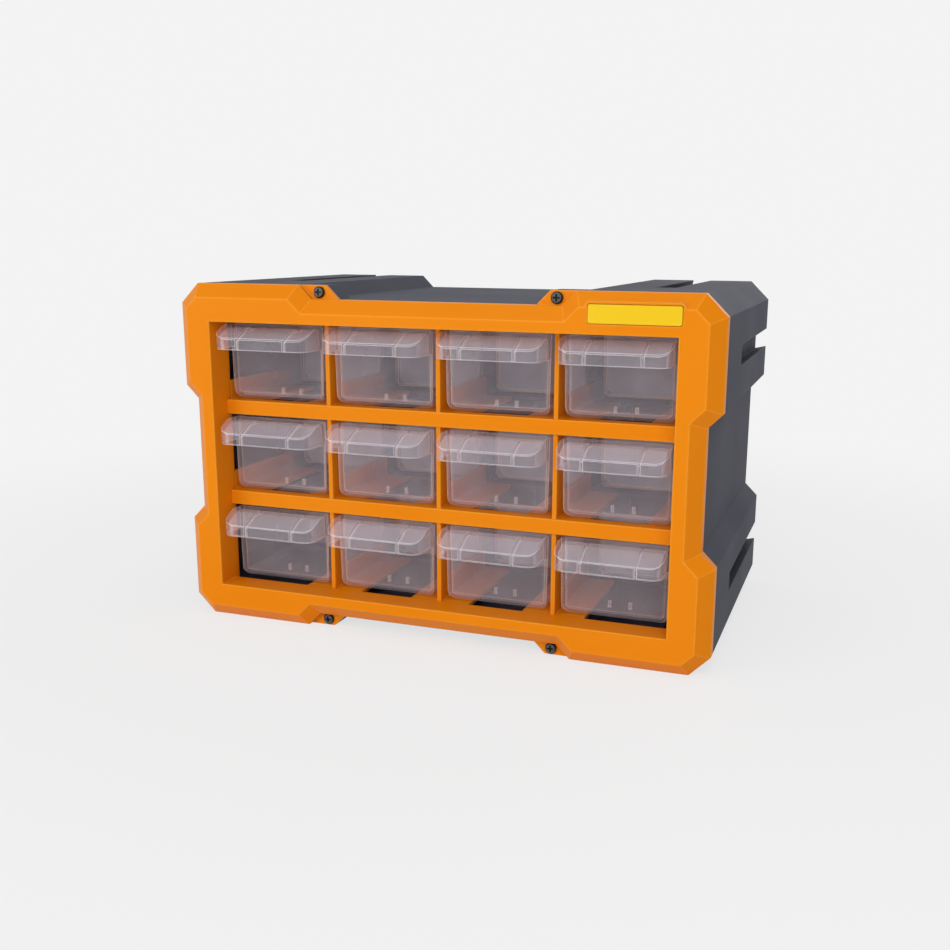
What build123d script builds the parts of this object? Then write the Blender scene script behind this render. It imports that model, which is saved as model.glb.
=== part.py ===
"""Small parts cabinet: a dark casing, an orange front frame and twelve clear drawers.

The cabinet stands on Z = 0, its front looks along -Y and X runs along its width.
A depth is a distance behind the face of the front frame. Lengths are in millimetres.
"""
import math
import os

from build123d import *

os.makedirs("parts", exist_ok=True)

# Cabinet
cabinet_width = 265.0
cabinet_height = 168.0
cabinet_depth = 160.0
columns = 4
rows = 3
overrun = 1.0

# Outline that the frame and the casing share
corner_chamfer = 9.5
recess_depth = 6.5
side_recess_height = 68.0
frame_recess_width = 135.5
recess_step = 2.25
ear_length = 12.75
ear_round = 2.0
flank_angle = 45.0

# Front frame
side_rail = 19.0
end_rail = 18.0
rim_depth = 11.8
bevel = 6.5
frame_wall = 2.4
reveal_wall = 2.0
reveal_depth = 16.0
sill_notch = 2.3
ear_thickness = 2.2

# Plate and the pad that holds it
pad_inner_margin = 5.2
pad_outer_margin = 16.3
pad_low_margin = 3.3
pad_high_margin = 3.65
pad_edge = 1.2
plate_thickness = 1.0
plate_seat = 0.7
plate_round = 1.0
plate_clearance = 0.3

# Screws
screw_head_width = 5.4
screw_head_height = 1.7
screw_head_edge = 0.7
screw_shank_width = 2.9
screw_length = 10.0
screw_clearance = 0.1
cross_length = 3.2
cross_width = 0.8
cross_depth = 1.0

# Casing
casing_wall = 2.5
seam_gap = 0.4
boss_length = 10.0
slot_floor_width = 12.0
slot_depth = 5.5
slot_flank_angle = 77.0
slot_start_depth = 57.0
keyhole_width = 9.0
keyhole_neck = 4.6
keyhole_drop = 9.0
keyhole_margin = 25.0
keyhole_spacing = 172.0

# Bars, posts and runners that the drawers stand on
bar_front_depth = 12.5
bar_height = 7.0
bar_depth = 7.0
post_width = 2.0
post_setback = 1.0
post_depth = 12.5
runner_end_depth = 76.0
runner_reach = 15.0
runner_base = 2.0
runner_rib_height = 9.3
grid_clearance = 0.3
stop_height = 4.0

# Drawers
drawer_side_gap = 2.1
drawer_head_room = 1.8
drawer_front_depth = 15.5
drawer_rear_gap = 6.0
drawer_wall = 1.6
drawer_floor_round = 5.0
drawer_draft = 1.0
drawer_clearance = 0.3

# Hood that a finger pulls on each drawer
hood_setback = 0.4
hood_proud = 2.0
hood_skirt = 5.8
hood_slope_height = 5.4
hood_slope_depth = 11.0
hood_corner = 6.0
hood_rib_spacing = 25.6
hood_rib_width = 1.2
hood_rib_height = 1.4

# Divider, its slot ribs and the two pegs on the drawer's floor
divider_thickness = 1.5
divider_drop = 4.0
divider_corner = 4.5
divider_clearance = 0.3
slot_rib_width = 2.4
slot_rib_height = 1.4
peg_spacing = 10.0
peg_setback = 13.5
peg_width = 1.4
peg_length = 1.6
peg_height = 3.0

# Places that follow from the sizes above
front_y = (hood_proud - cabinet_depth) / 2
mid_height = cabinet_height / 2
casing_front = rim_depth + seam_gap
back_depth = cabinet_depth - casing_wall
window_width = cabinet_width - 2 * side_rail
window_height = cabinet_height - 2 * end_rail
casing_recess_width = frame_recess_width + 2 * recess_step
ear_gap_width = frame_recess_width - 2 * ear_length
column_pitch = (window_width + post_width) / columns
row_pitch = (window_height + bar_height) / rows
levels = [index * row_pitch - window_height / 2 for index in range(rows)]
runner_places = [(index - columns / 2) * column_pitch for index in range(columns + 1)]
post_places = runner_places[1:-1]
column_centres = [place + column_pitch / 2 for place in runner_places[:-1]]

screw_x = (ear_gap_width + frame_recess_width) / 4 - recess_depth / 2
screw_z = (cabinet_height - recess_depth) / 2
screw_places = [(x, z) for x in (-screw_x, screw_x) for z in (-screw_z, screw_z)]

drawer_width = column_pitch - post_width - 2 * drawer_side_gap
drawer_height = row_pitch - bar_height - drawer_clearance - drawer_head_room
drawer_rear_depth = back_depth - drawer_rear_gap
drawer_front_y = front_y + drawer_front_depth
hood_width = drawer_width - 2 * hood_setback
drawer_mid_depth = (drawer_front_depth + drawer_rear_depth) / 2
drawer_mid_y = front_y + drawer_mid_depth


def facing(depth, height=mid_height):
    """Plane seen from the front at that depth: its x runs right, its y up from that height."""
    return Plane(origin=(0, front_y + depth, height), x_dir=(1, 0, 0), z_dir=(0, -1, 0))


def cabinet_outline(depth, recess_width, inset=0):
    """Chamfered rectangle with a flanked recess in the middle of each side."""
    with BuildSketch(facing(depth)) as outline:
        Rectangle(cabinet_width, cabinet_height)
        chamfer(outline.vertices(), corner_chamfer)
        with Locations(Location((0, -cabinet_height / 2), 0), Location((0, cabinet_height / 2), 180)):
            Trapezoid(recess_width, recess_depth, flank_angle,
                      align=(Align.CENTER, Align.MIN), mode=Mode.SUBTRACT)
        with Locations(Location((-cabinet_width / 2, 0), -90), Location((cabinet_width / 2, 0), 90)):
            Trapezoid(side_recess_height, recess_depth, flank_angle,
                      align=(Align.CENTER, Align.MIN), mode=Mode.SUBTRACT)
        if inset:
            offset(amount=-inset, kind=Kind.INTERSECTION, mode=Mode.REPLACE)
    return outline.sketch


def ear_outline(depth, recess_width):
    """Four ears that narrow the recesses at the top and bottom, each with a slanted end."""
    top = cabinet_height / 2
    tip = ear_gap_width / 2
    root = recess_width / 2
    with BuildSketch(facing(depth)) as ears:
        with BuildLine():
            Polyline((tip, top), (root, top), (root - recess_depth, top - recess_depth),
                     (tip - recess_depth, top - recess_depth), close=True)
        make_face()
        fillet(ears.vertices().group_by(Axis.Y)[-1].sort_by(Axis.X)[0], ear_round)
        mirror(about=Plane.YZ)
        mirror(about=Plane.XZ)
    return ears.sketch


def bevelled_block(inset, slope):
    """Block inside the frame's outer skin by that inset, with its front edges sloped."""
    with BuildPart() as sloped_front:
        loft([cabinet_outline(inset + slope, frame_recess_width, inset),
              cabinet_outline(inset, frame_recess_width, inset + slope)], ruled=True)
    with BuildPart() as block:
        extrude(cabinet_outline(rim_depth, frame_recess_width, inset), amount=rim_depth - inset - slope)
        add(Solid(Shell([Face(side.outer_wire()) for side in sloped_front.faces()])))
    return block.part


# Front frame: a bevelled ring, hollow behind, with a reveal round the window and four screw ears
with BuildPart() as frame_hollow:
    add(bevelled_block(frame_wall, bevel - frame_wall * (2 - math.sqrt(2))))
    with BuildSketch(facing(rim_depth)):
        Rectangle(window_width + 2 * reveal_wall, window_height + 2 * reveal_wall)
    extrude(amount=rim_depth, mode=Mode.SUBTRACT)

pad_width = (cabinet_width - frame_recess_width) / 2 - pad_inner_margin - pad_outer_margin
pad_height = end_rail - pad_low_margin - pad_high_margin
pad_x = frame_recess_width / 2 + pad_inner_margin + pad_width / 2
pad_z = window_height / 2 + pad_low_margin + pad_height / 2
with BuildPart() as front_frame:
    add(bevelled_block(0, bevel))
    add(frame_hollow.part, mode=Mode.SUBTRACT)
    with BuildSketch(facing(bevel)):
        with Locations((pad_x, pad_z)):
            RectangleRounded(pad_width, pad_height, plate_round + pad_edge)
    extrude(amount=bevel)
    extrude(ear_outline(rim_depth, frame_recess_width), amount=ear_thickness)
    with BuildSketch(facing(reveal_depth)):
        Rectangle(window_width + 2 * reveal_wall, window_height + 2 * reveal_wall)
    extrude(amount=reveal_depth)
    with BuildSketch(facing(reveal_depth)):
        Rectangle(window_width, window_height)
    extrude(amount=reveal_depth, mode=Mode.SUBTRACT)
    # Notches in the rear edge of the sill, between the places where the lowest runners meet it
    with BuildSketch(facing(reveal_depth)):
        with Locations((0, levels[0])):
            Rectangle(window_width, reveal_wall, align=(Align.CENTER, Align.MAX))
        with Locations([(place, levels[0]) for place in post_places]):
            Rectangle(2 * runner_reach, reveal_wall, align=(Align.CENTER, Align.MAX), mode=Mode.SUBTRACT)
    extrude(amount=sill_notch, mode=Mode.SUBTRACT)
    with BuildSketch(facing(rim_depth)):
        with Locations(screw_places):
            Circle(screw_shank_width / 2 + screw_clearance)
    extrude(amount=ear_thickness, mode=Mode.SUBTRACT)
    with BuildSketch(facing(plate_seat)):
        with Locations((pad_x, pad_z)):
            RectangleRounded(pad_width - 2 * pad_edge, pad_height - 2 * pad_edge, plate_round)
    extrude(amount=plate_seat, mode=Mode.SUBTRACT)
front_frame.part.label = "front_frame"
export_step(front_frame.part, "parts/front_frame.step")

# Bare plate that lies in its seat on the pad
with BuildPart() as front_plate:
    with BuildSketch(facing(plate_seat)):
        with Locations((pad_x, pad_z)):
            RectangleRounded(pad_width - 2 * (pad_edge + plate_clearance),
                             pad_height - 2 * (pad_edge + plate_clearance), plate_round)
    extrude(amount=plate_thickness)
front_plate.part.label = "front_plate"
export_step(front_plate.part, "parts/front_plate.step")

# Pan-head screws through the ears, with a cross in each head
with BuildPart() as frame_screws:
    head_seat = rim_depth - ear_thickness
    with BuildSketch(facing(head_seat)):
        with Locations(screw_places):
            Circle(screw_head_width / 2)
    extrude(amount=screw_head_height)
    chamfer(frame_screws.edges().group_by(Axis.Y)[0], screw_head_edge)
    with BuildSketch(facing(head_seat + screw_length)):
        with Locations(screw_places):
            Circle(screw_shank_width / 2)
    extrude(amount=screw_length)
    with BuildSketch(facing(head_seat - screw_head_height + cross_depth)):
        with Locations(screw_places):
            Rectangle(cross_length, cross_width)
            Rectangle(cross_width, cross_length)
    extrude(amount=cross_depth + overrun, mode=Mode.SUBTRACT)
frame_screws.part.label = "frame_screws"
export_step(frame_screws.part, "parts/frame_screws.step")

# Casing: a shell behind the frame, with screw bosses, joiner slots and keyholes for a wall
slot_x = (casing_recess_width + cabinet_width - 2 * corner_chamfer) / 4
slot_z = (side_recess_height + cabinet_height - 2 * corner_chamfer) / 4
slot_pad_width = slot_floor_width + 2 * casing_wall
slot_pad_depth = slot_depth + casing_wall
with BuildPart() as casing:
    extrude(cabinet_outline(cabinet_depth, casing_recess_width), amount=cabinet_depth - casing_front)
    extrude(cabinet_outline(back_depth, casing_recess_width, casing_wall),
            amount=back_depth - casing_front, mode=Mode.SUBTRACT)
    extrude(ear_outline(rim_depth + boss_length, casing_recess_width), amount=boss_length)
    # Thick pads behind the walls, that the joiner slots are cut into
    with BuildSketch(facing(back_depth)):
        with GridLocations(2 * slot_x, cabinet_height - slot_pad_depth, 2, 2):
            Rectangle(slot_pad_width, slot_pad_depth)
        with GridLocations(cabinet_width - slot_pad_depth, 2 * slot_z, 2, 2):
            Rectangle(slot_pad_depth, slot_pad_width)
    extrude(amount=back_depth - casing_front)
    # Dovetail slots, open at the rear, two on each side of the cabinet
    floor_x = cabinet_width / 2 - slot_depth
    floor_z = cabinet_height / 2 - slot_depth
    with BuildSketch(facing(cabinet_depth)):
        with Locations(
            *[Location((x, floor_z), 0) for x in (-slot_x, slot_x)],
            *[Location((x, -floor_z), 180) for x in (-slot_x, slot_x)],
            *[Location((floor_x, z), -90) for z in (-slot_z, slot_z)],
            *[Location((-floor_x, z), 90) for z in (-slot_z, slot_z)],
        ):
            Trapezoid(slot_floor_width, slot_depth + overrun, slot_flank_angle,
                      align=(Align.CENTER, Align.MIN))
    extrude(amount=cabinet_depth - slot_start_depth, mode=Mode.SUBTRACT)
    with BuildSketch(facing(rim_depth + boss_length)):
        with Locations(screw_places):
            Circle(screw_shank_width / 2 + screw_clearance)
    extrude(amount=boss_length, mode=Mode.SUBTRACT)
    # Keyholes: a round hole for the screw's head, with a neck above it
    keyhole_height = cabinet_height / 2 - keyhole_margin
    with BuildSketch(facing(cabinet_depth)):
        with Locations((-keyhole_spacing / 2, keyhole_height), (keyhole_spacing / 2, keyhole_height)):
            Circle(keyhole_width / 2)
        neck_z = keyhole_height + keyhole_drop / 2
        with Locations((-keyhole_spacing / 2, neck_z), (keyhole_spacing / 2, neck_z)):
            SlotCenterToCenter(keyhole_drop, keyhole_neck, rotation=90)
    extrude(amount=casing_wall, mode=Mode.SUBTRACT)
casing.part.label = "casing"
export_step(casing.part, "parts/casing.step")

# Grid of bars, posts and runners behind the window, on which the front of each drawer slides
with BuildPart() as runner_grid:
    with BuildSketch(facing(bar_front_depth + bar_depth)):
        with Locations([(0, level) for level in levels[1:]]):
            Rectangle(window_width, bar_height, align=(Align.CENTER, Align.MAX))
    extrude(amount=bar_depth)
    with BuildSketch(facing(bar_front_depth + post_setback + post_depth)):
        with Locations([(place, 0) for place in post_places]):
            Rectangle(post_width, window_height)
    extrude(amount=post_depth)
    with BuildSketch(facing(runner_end_depth)):
        with Locations([(place, level) for place in runner_places for level in levels[1:]]):
            Rectangle(2 * runner_reach, runner_base, align=(Align.CENTER, Align.MAX))
            Rectangle(post_width, runner_rib_height, align=(Align.CENTER, Align.MIN))
        Rectangle(window_width + 2 * post_width, window_height, mode=Mode.INTERSECT)
        with Locations([(place, levels[0]) for place in post_places]):
            Rectangle(2 * runner_reach, runner_base, align=(Align.CENTER, Align.MAX))
            Rectangle(post_width, runner_rib_height, align=(Align.CENTER, Align.MIN))
    extrude(amount=runner_end_depth - reveal_depth)
runner_grid.part.label = "runner_grid"
export_step(runner_grid.part, "parts/runner_grid.step")

# Grid inside the casing that carries the rear of each drawer and stops it at the back
with BuildPart() as rear_grid:
    shell_inset = recess_depth + casing_wall + grid_clearance
    grid_width = cabinet_width - 2 * shell_inset
    grid_height = cabinet_height - 2 * shell_inset
    with BuildSketch(facing(back_depth)):
        with Locations([(0, level) for level in levels]):
            Rectangle(grid_width, runner_base, align=(Align.CENTER, Align.MAX))
        with Locations([(place, level) for place in post_places for level in levels]):
            Rectangle(post_width, runner_rib_height, align=(Align.CENTER, Align.MIN))
    extrude(amount=back_depth - runner_end_depth - grid_clearance)
    # Stops and posts along the back wall tie the shelves together
    with BuildSketch(facing(back_depth)):
        with Locations([(0, level) for level in levels]):
            Rectangle(grid_width, stop_height, align=(Align.CENTER, Align.MIN))
        with Locations([(place, 0) for place in post_places]):
            Rectangle(post_width, grid_height)
    extrude(amount=drawer_rear_gap - drawer_clearance)
rear_grid.part.label = "rear_grid"
export_step(rear_grid.part, "parts/rear_grid.step")

# Drawer: a trough with drafted sides and a hood grip, first made with its floor at Z = 0
ridge_z = drawer_height - hood_slope_height
skirt_z = ridge_z - hood_skirt
hood_front_y = front_y - hood_proud
slope_rear_y = hood_front_y + hood_slope_depth
floor_width = drawer_width - 2 * drawer_height * math.tan(math.radians(drawer_draft))


def trough(inset):
    """Block inside the drawer's outer skin by that inset, with drafted sides and eased floor edges."""
    front = drawer_front_depth + inset
    rear = drawer_rear_depth - inset

    def ease(corners):
        """Rounds the outer skin, and cuts the inner one flat where its round would touch it."""
        if inset:
            chamfer(corners, (drawer_floor_round - inset) * (2 - math.sqrt(2)))
        else:
            fillet(corners, drawer_floor_round)

    with BuildPart() as block:
        with BuildSketch(facing(rear, 0)) as section:
            with Locations(Location((0, drawer_height), 180)):
                Trapezoid(drawer_width - 2 * inset, drawer_height - inset, 90 - drawer_draft,
                          align=(Align.CENTER, Align.MIN))
            ease(section.vertices().group_by(Axis.Y)[0])
        extrude(amount=rear - front)
        with BuildSketch(Plane.YZ) as side:
            with Locations((front_y + front, inset)):
                Rectangle(rear - front, drawer_height - inset, align=(Align.MIN, Align.MIN))
            ease(side.vertices().group_by(Axis.Y)[0].sort_by(Axis.X)[0])
        extrude(amount=drawer_width / 2, both=True, mode=Mode.INTERSECT)
    return block.part


def hood_block(inset, bottom, rear):
    """Block inside the hood's outer skin by that inset, with a sloped top and rounded front corners."""
    with BuildPart() as block:
        with BuildSketch(Plane.YZ):
            with BuildLine():
                Polyline((hood_front_y, bottom - inset), (hood_front_y, ridge_z),
                         (slope_rear_y, drawer_height), (rear + inset, drawer_height),
                         (rear + inset, bottom - inset), close=True)
            make_face()
            if inset:
                offset(amount=-inset, kind=Kind.INTERSECTION, mode=Mode.REPLACE)
        extrude(amount=hood_width / 2 - inset, both=True)
        with BuildSketch(Plane.XY.offset(bottom)) as plan:
            with Locations((0, rear)):
                Rectangle(hood_width - 2 * inset, rear - hood_front_y - inset,
                          align=(Align.CENTER, Align.MAX))
            fillet(plan.vertices().group_by(Axis.Y)[0], hood_corner - inset)
        extrude(amount=drawer_height - bottom, mode=Mode.INTERSECT)
    return block.part


# Two ribs under the hood's skin, with room for a label between them
with BuildPart() as hood_ribs:
    add(hood_block(drawer_wall / 2, skirt_z, drawer_front_y + drawer_wall / 2))
    with BuildSketch(Plane.XY.offset(skirt_z)):
        with GridLocations(hood_rib_spacing, 0, 2, 1):
            with Locations((0, hood_front_y)):
                Rectangle(hood_rib_width, drawer_front_y + drawer_wall - hood_front_y,
                          align=(Align.CENTER, Align.MIN))
    extrude(amount=drawer_height, mode=Mode.INTERSECT)
    add(hood_block(drawer_wall + hood_rib_height, skirt_z - overrun, drawer_front_y), mode=Mode.SUBTRACT)

# Space inside the drawer, cut short where slot ribs and pegs stand
with BuildPart() as drawer_hollow:
    add(trough(drawer_wall))
    slot_rib_offset = divider_thickness / 2 + divider_clearance + slot_rib_width / 2
    core_width = floor_width - 2 * (drawer_wall + slot_rib_height)
    core_floor = drawer_wall + slot_rib_height
    with GridLocations(0, 2 * slot_rib_offset, 1, 2):
        with Locations((0, drawer_mid_y, 0)):
            Box(drawer_width, slot_rib_width, drawer_height - divider_drop,
                align=(Align.CENTER, Align.CENTER, Align.MIN), mode=Mode.SUBTRACT)
        with Locations((0, drawer_mid_y, core_floor)):
            Box(core_width, slot_rib_width, drawer_height - core_floor,
                align=(Align.CENTER, Align.CENTER, Align.MIN))
    with GridLocations(peg_spacing, 0, 2, 1):
        with Locations((0, drawer_front_y + peg_setback, 0)):
            Box(peg_width, peg_length, drawer_wall + peg_height,
                align=(Align.CENTER, Align.CENTER, Align.MIN), mode=Mode.SUBTRACT)

with BuildPart() as drawer:
    add(trough(0))
    add(hood_block(0, skirt_z, drawer_front_y + drawer_wall))
    add(drawer_hollow.part, mode=Mode.SUBTRACT)
    add(hood_block(drawer_wall, skirt_z - overrun, drawer_front_y), mode=Mode.SUBTRACT)
    add(hood_ribs.part)

# Divider: a plate on the drawer's floor, between the slot ribs
with BuildPart() as divider:
    with BuildSketch(facing(drawer_mid_depth + divider_thickness / 2, drawer_wall)) as plate:
        Rectangle(floor_width - 2 * (drawer_wall + divider_clearance),
                  drawer_height - drawer_wall - divider_drop, align=(Align.CENTER, Align.MIN))
        chamfer(plate.vertices().group_by(Axis.Y)[0], divider_corner)
    extrude(amount=divider_thickness)

# Every cell gets a drawer and a divider, with row 1 at the top and column 1 on the left
for row in range(rows):
    drawer_bottom = mid_height + levels[rows - 1 - row] + drawer_clearance
    for column in range(columns):
        cell = f"r{row + 1}c{column + 1}"
        with BuildPart() as placed_drawer:
            with Locations((column_centres[column], 0, drawer_bottom)):
                add(drawer.part)
        placed_drawer.part.label = f"drawer_{cell}"
        export_step(placed_drawer.part, f"parts/drawer_{cell}.step")
        with BuildPart() as placed_divider:
            with Locations((column_centres[column], 0, drawer_bottom)):
                add(divider.part)
        placed_divider.part.label = f"divider_{cell}"
        export_step(placed_divider.part, f"parts/divider_{cell}.step")
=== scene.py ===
"""Small parts cabinet on a pale studio floor: finishes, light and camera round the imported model."""
import math

import bpy
import numpy as np
from mathutils import Matrix, Vector


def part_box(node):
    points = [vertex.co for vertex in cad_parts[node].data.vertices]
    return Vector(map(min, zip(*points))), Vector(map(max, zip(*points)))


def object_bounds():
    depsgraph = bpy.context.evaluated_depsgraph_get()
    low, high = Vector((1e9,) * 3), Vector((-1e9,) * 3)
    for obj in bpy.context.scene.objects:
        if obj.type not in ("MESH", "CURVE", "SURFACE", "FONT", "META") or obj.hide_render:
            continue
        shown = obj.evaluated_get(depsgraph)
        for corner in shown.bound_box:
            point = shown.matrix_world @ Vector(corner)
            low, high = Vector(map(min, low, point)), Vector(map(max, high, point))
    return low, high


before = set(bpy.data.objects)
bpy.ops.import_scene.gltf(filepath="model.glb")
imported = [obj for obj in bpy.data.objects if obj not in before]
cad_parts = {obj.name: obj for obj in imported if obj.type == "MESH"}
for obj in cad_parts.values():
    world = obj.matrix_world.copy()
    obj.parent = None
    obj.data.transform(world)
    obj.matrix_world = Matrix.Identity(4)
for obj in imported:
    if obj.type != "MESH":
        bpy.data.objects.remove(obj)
cad_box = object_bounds()

# Casing and the grid inside it.
# The casing is one deep shell, injection moulded in dark blue-grey plastic. Its tool is
# spark eroded, so the skin has a fine dull grain, and a painted highlight makes the edges a little
# paler.
CASING_COLOUR = (0.051, 0.052, 0.072, 1.0)
# Painted highlight along the casing's edges.
CASING_EDGE_HIGHLIGHT = (0.082, 0.084, 0.112, 1.0)
CASING_ROUGHNESS = (0.56, 0.70)
CASING_GLOSS = 0.10
CASING_GRAIN = 0.00045
CASING_EDGE = 0.0007
CLOUD_SCALE = 14.0
CLOUD_DETAIL = 4.0
CLOUD_SPAN = (0.3, 0.7)
CLOUD_SHADE = (0.0, 0.10)
POLISH_SPAN = (0.25, 0.75)
# Painted highlight along the edges: the span of the edge mask, its share of the paler colour and its
# samples.
HIGHLIGHT_SPAN = (1.0, 0.95)  # dot products of the true normal and the rounded one
HIGHLIGHT_SHARE = 0.6
ROUNDED_EDGE_SAMPLES = 6
GRAIN_DETAIL = 2.0
GRAIN_STRENGTH = 0.12


def feed(tree, source, socket):
    """Links a node's output to the socket, or writes a plain number or colour on it."""
    if isinstance(source, bpy.types.NodeSocket):
        tree.links.new(source, socket)
    else:
        socket.default_value = source


def ramp(tree, value, span, result=(0.0, 1.0)):
    """Straight ramp that turns the span of a value into the span of a result, held at both ends."""
    slope = tree.nodes.new("ShaderNodeMapRange")
    slope.inputs["From Min"].default_value = span[0]
    slope.inputs["From Max"].default_value = span[1]
    slope.inputs["To Min"].default_value = result[0]
    slope.inputs["To Max"].default_value = result[1]
    tree.links.new(value, slope.inputs["Value"])
    return slope.outputs["Result"]


def scaled_sum(tree, value, factor, rest):
    """The value times the factor, plus the rest, held between 0 and 1."""
    total = tree.nodes.new("ShaderNodeMath")
    total.operation = "MULTIPLY_ADD"
    total.use_clamp = True
    feed(tree, value, total.inputs[0])
    feed(tree, factor, total.inputs[1])
    feed(tree, rest, total.inputs[2])
    return total.outputs["Value"]


def mix(tree, kind, share, first, second):
    """Goes from the first number or colour to the second while the share goes from 0 to 1."""
    blend = tree.nodes.new("ShaderNodeMix")
    blend.data_type = kind
    feed(tree, share, blend.inputs["Factor"])
    feed(tree, first, blend.inputs["A"])
    feed(tree, second, blend.inputs["B"])
    return blend.outputs["Result"]


def noise(tree, scale, detail):
    """Noise on Object coordinates, with that many lumps to the metre."""
    place = tree.nodes.new("ShaderNodeTexCoord")
    lumps = tree.nodes.new("ShaderNodeTexNoise")
    lumps.inputs["Scale"].default_value = scale
    lumps.inputs["Detail"].default_value = detail
    tree.links.new(place.outputs["Object"], lumps.inputs["Vector"])
    return lumps.outputs["Fac"]


def edge_mask(tree, radius, span, samples):
    """Mask of the strip within that radius of an edge, and the normal rounded over the edge.

    On a flat face the rounded normal is the true one and their dot product is 1. Near an edge
    it falls, and the span of dot products becomes 0 to 1.
    """
    rounded = tree.nodes.new("ShaderNodeBevel")
    rounded.samples = samples
    rounded.inputs["Radius"].default_value = radius
    geometry = tree.nodes.new("ShaderNodeNewGeometry")
    alike = tree.nodes.new("ShaderNodeVectorMath")
    alike.operation = "DOT_PRODUCT"
    tree.links.new(rounded.outputs["Normal"], alike.inputs[0])
    tree.links.new(geometry.outputs["True Normal"], alike.inputs[1])
    return ramp(tree, alike.outputs["Value"], span), rounded.outputs["Normal"]


def bumps(tree, height, strength, depth, normal):
    """Normal that leans with the slope of the height, laid over another normal."""
    relief = tree.nodes.new("ShaderNodeBump")
    relief.inputs["Strength"].default_value = strength
    relief.inputs["Distance"].default_value = depth
    tree.links.new(height, relief.inputs["Height"])
    tree.links.new(normal, relief.inputs["Normal"])
    return relief.outputs["Normal"]


def opaque_finish(name, colour, edge_highlight, roughness, gloss, grain, edge):
    """Opaque finish: soft clouds of shade, a fine grain, and rounded edges with a painted highlight,
    paler than the faces.
    """
    material = bpy.data.materials.new(name)
    material.use_nodes = True
    tree = material.node_tree
    shader = tree.nodes["Principled BSDF"]
    shader.inputs["Specular IOR Level"].default_value = gloss
    clouds = noise(tree, CLOUD_SCALE, CLOUD_DETAIL)
    highlight_mask, rounded = edge_mask(tree, edge, HIGHLIGHT_SPAN, ROUNDED_EDGE_SAMPLES)
    # Share of the paler colour: painted highlight along the edges, plus random clouds of tone.
    highlight_and_clouds = scaled_sum(tree, highlight_mask, HIGHLIGHT_SHARE, ramp(tree, clouds, CLOUD_SPAN, CLOUD_SHADE))
    feed(tree, mix(tree, "RGBA", highlight_and_clouds, colour, edge_highlight), shader.inputs["Base Color"])
    feed(tree, ramp(tree, clouds, POLISH_SPAN, roughness), shader.inputs["Roughness"])
    pits = noise(tree, 1 / grain, GRAIN_DETAIL)
    feed(tree, bumps(tree, pits, GRAIN_STRENGTH, grain / 4, rounded), shader.inputs["Normal"])
    return material


def dress(node, material):
    """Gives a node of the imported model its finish."""
    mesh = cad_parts[node].data
    mesh.materials.clear()
    mesh.materials.append(material)


casing_plastic = opaque_finish("casing_plastic", CASING_COLOUR, CASING_EDGE_HIGHLIGHT,
                               CASING_ROUGHNESS, CASING_GLOSS, CASING_GRAIN, CASING_EDGE)
dress("casing", casing_plastic)
dress("rear_grid", casing_plastic)

# Front frame and the grid of bars, posts and runners behind its window.
# Both are moulded in the same orange plastic, smoother than the casing and rounder at the
# edges, and the frame is held on the casing by four screws through its ears.
FRAME_COLOUR = (0.77, 0.218, 0.0012, 1.0)
# Painted highlight along the frame's rounded edges.
FRAME_EDGE_HIGHLIGHT = (0.95, 0.40, 0.045, 1.0)
FRAME_ROUGHNESS = (0.30, 0.40)
FRAME_GLOSS = 0.06
FRAME_GRAIN = 0.0006
FRAME_EDGE = 0.0011

frame_plastic = opaque_finish("frame_plastic", FRAME_COLOUR, FRAME_EDGE_HIGHLIGHT,
                              FRAME_ROUGHNESS, FRAME_GLOSS, FRAME_GRAIN, FRAME_EDGE)
dress("front_frame", frame_plastic)
dress("runner_grid", frame_plastic)

# Cross-head screws in the frame's ears.
# Blackened steel, driven from the front into bosses of the casing. The driver has rubbed the
# faces of the heads to grey. Behind the face, the cross and the flank are painted near black: this is
# the black of the steel with painted shade in the recess.
SCREW_COLOUR = (0.075, 0.076, 0.082, 1.0)
# Painted highlight along the screw heads' edges.
SCREW_EDGE_HIGHLIGHT = (0.12, 0.12, 0.13, 1.0)
# Painted shade in the cross recess and on the flank, near black.
SCREW_RECESS_SHADE = (0.004, 0.004, 0.005, 1.0)
SCREW_SHADE_DEPTH = (0.00015, 0.00045)
SCREW_ROUGHNESS = (0.28, 0.42)
SCREW_GLOSS = 0.3
SCREW_METAL = 0.3
SCREW_GRAIN = 0.0002
SCREW_EDGE = 0.0002


def place_along_y(tree):
    """Object coordinate along Y, which grows from the front of the cabinet to its back."""
    place = tree.nodes.new("ShaderNodeTexCoord")
    parts = tree.nodes.new("ShaderNodeSeparateXYZ")
    tree.links.new(place.outputs["Object"], parts.inputs["Vector"])
    return parts.outputs["Y"]


def shade_behind_face(material, face):
    """Keeps the tone of the steel at the face's place along Y and paints it near black behind it, as
    painted shade in the cross recess and on the flank.
    """
    tree = material.node_tree
    colour = tree.nodes["Principled BSDF"].inputs["Base Color"]
    steel = colour.links[0].from_socket
    behind = ramp(tree, place_along_y(tree), [face + depth for depth in SCREW_SHADE_DEPTH])
    feed(tree, mix(tree, "RGBA", behind, steel, SCREW_RECESS_SHADE), colour)


screw_steel = opaque_finish("screw_steel", SCREW_COLOUR, SCREW_EDGE_HIGHLIGHT,
                            SCREW_ROUGHNESS, SCREW_GLOSS, SCREW_GRAIN, SCREW_EDGE)
screw_steel.node_tree.nodes["Principled BSDF"].inputs["Metallic"].default_value = SCREW_METAL
shade_behind_face(screw_steel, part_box("frame_screws")[0][1])
dress("frame_screws", screw_steel)

# Bare plate on the raised pad at the right end of the top rail.
# A thin glossy yellow plate, glued into a shallow seat of the frame.
PLATE_COLOUR = (0.82, 0.53, 0.012, 1.0)
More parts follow.
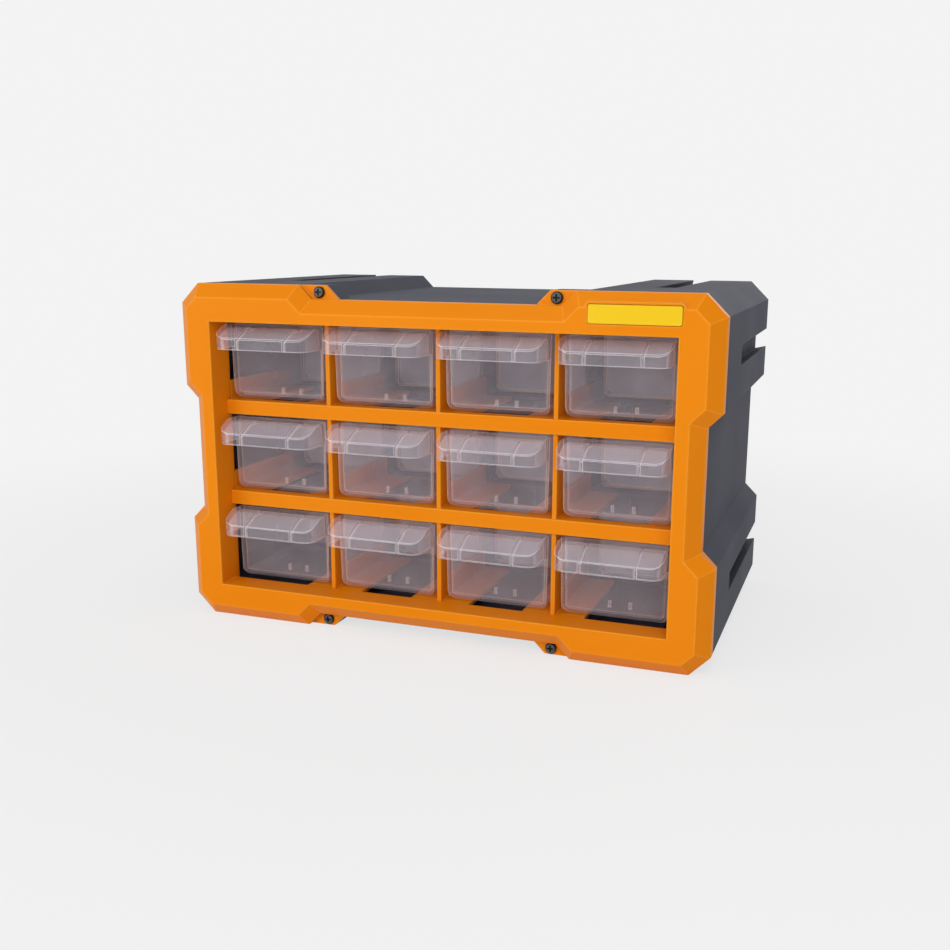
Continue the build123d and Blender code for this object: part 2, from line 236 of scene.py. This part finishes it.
# Painted highlight along the plate's edges.
PLATE_EDGE_HIGHLIGHT = (0.90, 0.63, 0.04, 1.0)
PLATE_ROUGHNESS = (0.18, 0.28)
PLATE_GLOSS = 0.12
PLATE_GRAIN = 0.0008
PLATE_EDGE = 0.0003

plate_gloss = opaque_finish("plate_gloss", PLATE_COLOUR, PLATE_EDGE_HIGHLIGHT,
                            PLATE_ROUGHNESS, PLATE_GLOSS, PLATE_GRAIN, PLATE_EDGE)
dress("front_plate", plate_gloss)

# Drawers, which slide on the runners, and the dividers that stand between their slot ribs.
# Moulded in clear plastic with a faint lavender haze. The light that runs inside the thin walls and
# leaves at the edges is painted: a painted highlight on rims, ribs and the hood's ridge, and painted
# warm light from the orange parts on the tub's border.
CLEAR_TINT = (0.91, 0.87, 0.97, 1.0)
# Painted warm light on the tub's border, from the orange frame and runners.
CLEAR_BORDER_LIGHT = (0.93, 0.60, 0.48, 1.0)
# Painted highlight along the edges of the clear plastic.
CLEAR_EDGE_HIGHLIGHT = (0.98, 0.94, 0.98, 1.0)
CLEAR_ROUGHNESS = 0.22
CLEAR_IOR = 1.49
HOOD_PROUD = 0.002
TUB_FRONT_DEPTH = 0.0155
HOOD_HAZE = 0.045
DRAWER_HAZE = (0.052, 0.17)  # at the front and at the rear of the tub
DIVIDER_HAZE = (0.34, 0.34)
HAZE_DEPTH = (0.020, 0.135)  # behind the front of the tub, where that change starts and ends
HAZE_CLOUDS = (0.8, 1.2)
SLANT_HAZE = 0.22
# Painted warm border light and painted edge highlight: their widths and hidden shares.
LIT_BORDER_WIDTH = 0.0024
LIT_BORDER_HAZE = 0.26
HIGHLIGHT_LINE_WIDTH = 0.0006
EDGE_HIGHLIGHT_HAZE = (1.0, 0.34)  # on the hood and on the tub
CLEAR_EDGE_SPAN = (0.985, 0.80)
CLEAR_EDGE_SAMPLES = 4
FLOW_SCALE = 60.0
FLOW_DETAIL = 2.0
FLOW_STRENGTH = 0.06
FLOW_DEPTH = 0.0005
CLEAR_LAYERS = 64


def clear_plastic(name, tub_haze):
    """Thin clear plastic: each skin hides a small share of what is behind it.

    The hidden share is a slow cloud of haze that grows from the front of the tub to its rear,
    plus the Fresnel share at a slant, plus a border on the tub painted with the warm light of what
    stands near, plus a thin painted highlight along each edge, which is strongest on the hood.
    """
    material = bpy.data.materials.new(name)
    material.use_nodes = True
    tree = material.node_tree
    shader = tree.nodes["Principled BSDF"]
    shader.inputs["Roughness"].default_value = CLEAR_ROUGHNESS
    shader.inputs["IOR"].default_value = CLEAR_IOR

    front = cad_box[0][1] + HOOD_PROUD + TUB_FRONT_DEPTH
    along = place_along_y(tree)
    tub = ramp(tree, along, (front - LIT_BORDER_WIDTH, front))
    # Painted warm light from the orange frame and runners, in a strip along the tub's border.
    near_edge, _ = edge_mask(tree, LIT_BORDER_WIDTH, CLEAR_EDGE_SPAN, CLEAR_EDGE_SAMPLES)
    border_light = scaled_sum(tree, near_edge, tub, 0.0)
    # Painted highlight in a thin line along each edge.
    edge, rounded = edge_mask(tree, HIGHLIGHT_LINE_WIDTH, CLEAR_EDGE_SPAN, CLEAR_EDGE_SAMPLES)
    tint_and_border_light = mix(tree, "RGBA", border_light, CLEAR_TINT, CLEAR_BORDER_LIGHT)
    feed(tree, mix(tree, "RGBA", edge, tint_and_border_light, CLEAR_EDGE_HIGHLIGHT), shader.inputs["Base Color"])

    flow = noise(tree, FLOW_SCALE, FLOW_DETAIL)
    tub_share = ramp(tree, along, [front + depth for depth in HAZE_DEPTH], tub_haze)
    skin = mix(tree, "FLOAT", tub, HOOD_HAZE, tub_share)
    hidden = scaled_sum(tree, skin, ramp(tree, flow, CLOUD_SPAN, HAZE_CLOUDS), 0.0)
    slant = tree.nodes.new("ShaderNodeFresnel")
    slant.inputs["IOR"].default_value = CLEAR_IOR
    hidden = scaled_sum(tree, slant.outputs["Fac"], SLANT_HAZE, hidden)
    hidden = scaled_sum(tree, border_light, LIT_BORDER_HAZE, hidden)
    hidden = scaled_sum(tree, edge, ramp(tree, tub, (0.0, 1.0), EDGE_HIGHLIGHT_HAZE), hidden)
    feed(tree, hidden, shader.inputs["Alpha"])
    feed(tree, bumps(tree, flow, FLOW_STRENGTH, FLOW_DEPTH, rounded), shader.inputs["Normal"])
    return material


drawer_plastic = clear_plastic("drawer_plastic", DRAWER_HAZE)
divider_plastic = clear_plastic("divider_plastic", DIVIDER_HAZE)
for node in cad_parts:
    if node.startswith("drawer_"):
        dress(node, drawer_plastic)
    elif node.startswith("divider_"):
        dress(node, divider_plastic)
bpy.context.scene.cycles.transparent_max_bounces = CLEAR_LAYERS

# Floor of the studio.
# A wide pale sheet. Near the cabinet it is matt and takes the shadow, and further out it
# fades into the plain tone of the background.
BACKGROUND_TONE = (0.896, 0.896, 0.896, 1.0)
FLOOR_COLOUR = (0.90, 0.90, 0.90, 1.0)
FLOOR_ROUGHNESS = 0.9
FLOOR_GLOSS = 0.1
FLOOR_FADE = (0.15, 0.60)
FLOOR_PLAIN_SHARE = (0.78, 1.0)
FLOOR_RADIUS = 6.0
FLOOR_HUB = 0.001
FLOOR_RINGS = 24
FLOOR_STEPS = 64


def disc(name):
    """Flat disc on Z = 0: x = r cos a and y = r sin a on a grid of radius r and angle a."""
    radii = np.linspace(FLOOR_HUB, FLOOR_RADIUS, FLOOR_RINGS)
    angles = np.linspace(0, 2 * np.pi, FLOOR_STEPS, endpoint=False)
    r, a = np.meshgrid(radii, angles)
    points = np.stack([r * np.cos(a), r * np.sin(a), np.zeros_like(r)], axis=-1).reshape(-1, 3)
    ring, step = np.meshgrid(np.arange(FLOOR_RINGS - 1), np.arange(FLOOR_STEPS))
    here = step * FLOOR_RINGS + ring
    beside = (step + 1) % FLOOR_STEPS * FLOOR_RINGS + ring
    faces = np.stack([here, here + 1, beside + 1, beside], axis=-1).reshape(-1, 4)
    mesh = bpy.data.meshes.new(name)
    mesh.from_pydata(points.tolist(), [], faces.tolist())
    sheet = bpy.data.objects.new(name, mesh)
    bpy.context.scene.collection.objects.link(sheet)
    return sheet


def seen_rays(tree):
    """1 for rays that show a thing to the camera, also by gloss or through glass, and else 0."""
    path = tree.nodes.new("ShaderNodeLightPath")
    seen = path.outputs["Is Camera Ray"]
    for kind in ("Is Glossy Ray", "Is Transmission Ray"):
        seen = scaled_sum(tree, path.outputs[kind], 1.0, seen)
    return seen


def floor_finish(name):
    """Matt near the origin and plain tone far off, mixed by the distance from the origin."""
    material = bpy.data.materials.new(name)
    material.use_nodes = True
    tree = material.node_tree
    shader = tree.nodes["Principled BSDF"]
    shader.inputs["Base Color"].default_value = FLOOR_COLOUR
    shader.inputs["Roughness"].default_value = FLOOR_ROUGHNESS
    shader.inputs["Specular IOR Level"].default_value = FLOOR_GLOSS
    tone = tree.nodes.new("ShaderNodeEmission")
    tone.inputs["Color"].default_value = BACKGROUND_TONE
    place = tree.nodes.new("ShaderNodeTexCoord")
    distance = tree.nodes.new("ShaderNodeVectorMath")
    distance.operation = "LENGTH"
    tree.links.new(place.outputs["Object"], distance.inputs[0])
    plain = ramp(tree, distance.outputs["Value"], FLOOR_FADE, FLOOR_PLAIN_SHARE)
    plain.node.interpolation_type = "SMOOTHSTEP"
    blend = tree.nodes.new("ShaderNodeMixShader")
    feed(tree, scaled_sum(tree, plain, seen_rays(tree), 0.0), blend.inputs["Fac"])
    tree.links.new(shader.outputs["BSDF"], blend.inputs[1])
    tree.links.new(tone.outputs["Emission"], blend.inputs[2])
    tree.links.new(blend.outputs["Shader"], tree.nodes["Material Output"].inputs["Surface"])
    return material


floor = disc("studio_floor")
floor.data.materials.append(floor_finish("studio_floor"))

# Light of the studio.
# An even grey surround that the camera sees as the pale background, a broad soft box high in
# front, a low one to its left that reaches into the drawers, and weaker ones overhead and behind.
SURROUND_TONE = (0.36, 0.36, 0.36, 1.0)
BOX_SIZE = 0.9
SOFT_BOXES = {
    "key_box": ((0.35, -1.15, 0.80), 8.2),
    "fill_box": ((-0.75, -1.10, 0.22), 6.5),
    "top_box": ((0.0, -0.1, 1.15), 1.5),
    "back_box": ((0.45, 1.20, 0.75), 3.0),
}

world = bpy.data.worlds.new("studio")
world.use_nodes = True
bpy.context.scene.world = world
studio = world.node_tree
surround = mix(studio, "RGBA", seen_rays(studio), SURROUND_TONE, BACKGROUND_TONE)
feed(studio, surround, studio.nodes["Background"].inputs["Color"])

middle = (Vector(cad_box[0]) + Vector(cad_box[1])) / 2
for name, (place, watts) in SOFT_BOXES.items():
    lamp = bpy.data.lights.new(name, "AREA")
    lamp.energy = watts
    lamp.size = BOX_SIZE
    holder = bpy.data.objects.new(name, lamp)
    holder.location = place
    holder.rotation_euler = (middle - Vector(place)).to_track_quat("-Z", "Y").to_euler()
    bpy.context.scene.collection.objects.link(holder)

# Camera.
# Its place, aim and lens were worked out from the outline of the cabinet in the photograph,
# whose frame is a square of 950 pixels.
PHOTO_SIDE = 950
FOCAL_PIXELS = 1094.7
CENTRE_PIXEL = (493.5, 490.3)
SENSOR_WIDTH = 36.0
NEAREST = 0.01
CAMERA_PLACE = (0.19477, -0.53340, 0.18912)
CAMERA_YAW = 19.651
CAMERA_PITCH = 12.888
CAMERA_ROLL = 0.296

camera = bpy.data.cameras.new("camera")
camera.sensor_width = SENSOR_WIDTH
camera.lens = SENSOR_WIDTH * FOCAL_PIXELS / PHOTO_SIDE
camera.shift_x = 0.5 - CENTRE_PIXEL[0] / PHOTO_SIDE
camera.shift_y = CENTRE_PIXEL[1] / PHOTO_SIDE - 0.5
camera.clip_start = NEAREST
turn = (Matrix.Rotation(math.radians(CAMERA_YAW), 4, "Z")
        @ Matrix.Rotation(math.radians(90 - CAMERA_PITCH), 4, "X")
        @ Matrix.Rotation(math.radians(CAMERA_ROLL), 4, "Z"))
viewer = bpy.data.objects.new("camera", camera)
viewer.matrix_world = Matrix.Translation(CAMERA_PLACE) @ turn
bpy.context.scene.collection.objects.link(viewer)
bpy.context.scene.camera = viewer
bpy.context.scene.view_settings.view_transform = "Standard"
